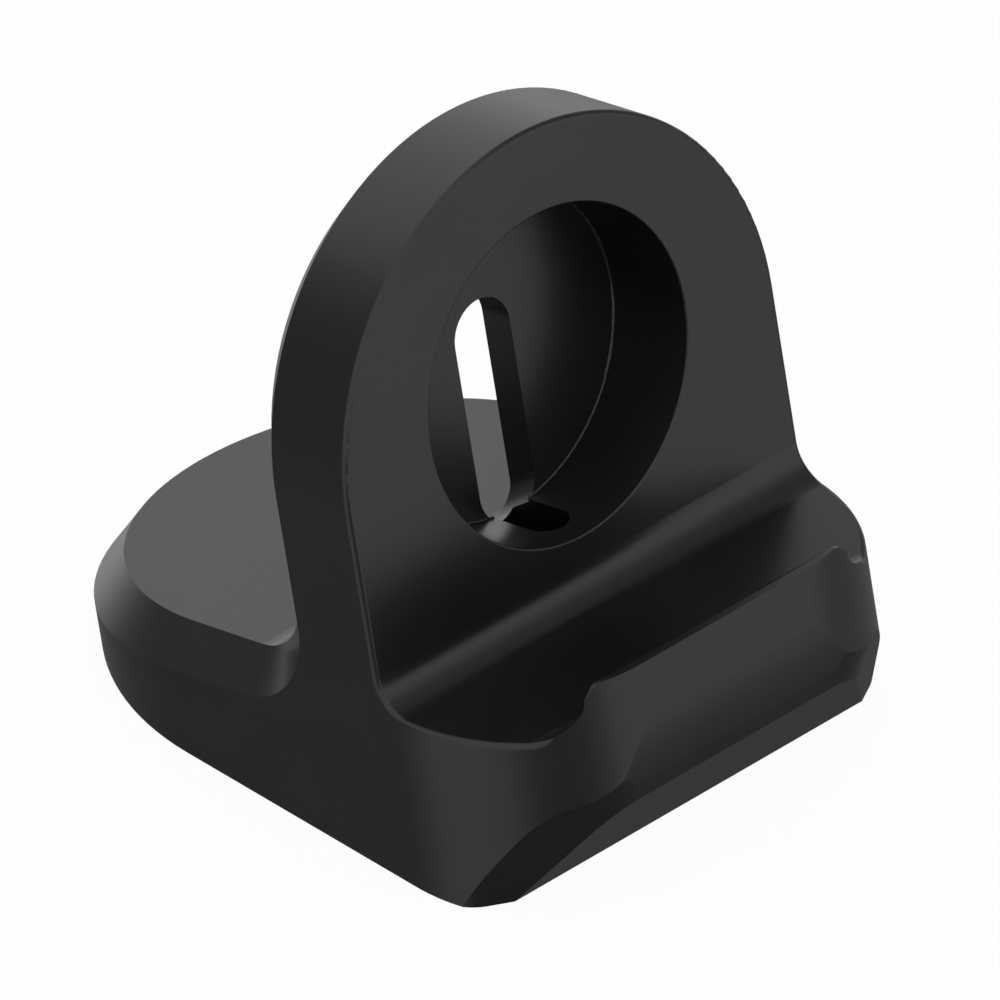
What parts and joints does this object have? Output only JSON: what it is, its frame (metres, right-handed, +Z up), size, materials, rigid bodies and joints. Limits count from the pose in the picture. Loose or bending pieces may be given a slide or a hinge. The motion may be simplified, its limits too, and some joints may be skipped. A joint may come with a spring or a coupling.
{
  "type": "smartwatch charging dock",
  "caption": "Silicone stand with a leaning round-topped arch that holds a charging puck in a round pocket, a watch trough with a low lip in front, and a rounded tail behind.",
  "frame": {"origin": "middle of the footprint's box on the resting face, so that the dock stands on z = 0", "axes": "+X across the dock to the right seen from the front, +Y from the trough towards the tail, +Z up"},
  "size_m": [0.047, 0.0623, 0.0542],
  "materials": {
    "black_silicone": "matte"
  },
  "bodies": {
    "root": {"dock_body": "black_silicone"}
  },
  "joints": []
}
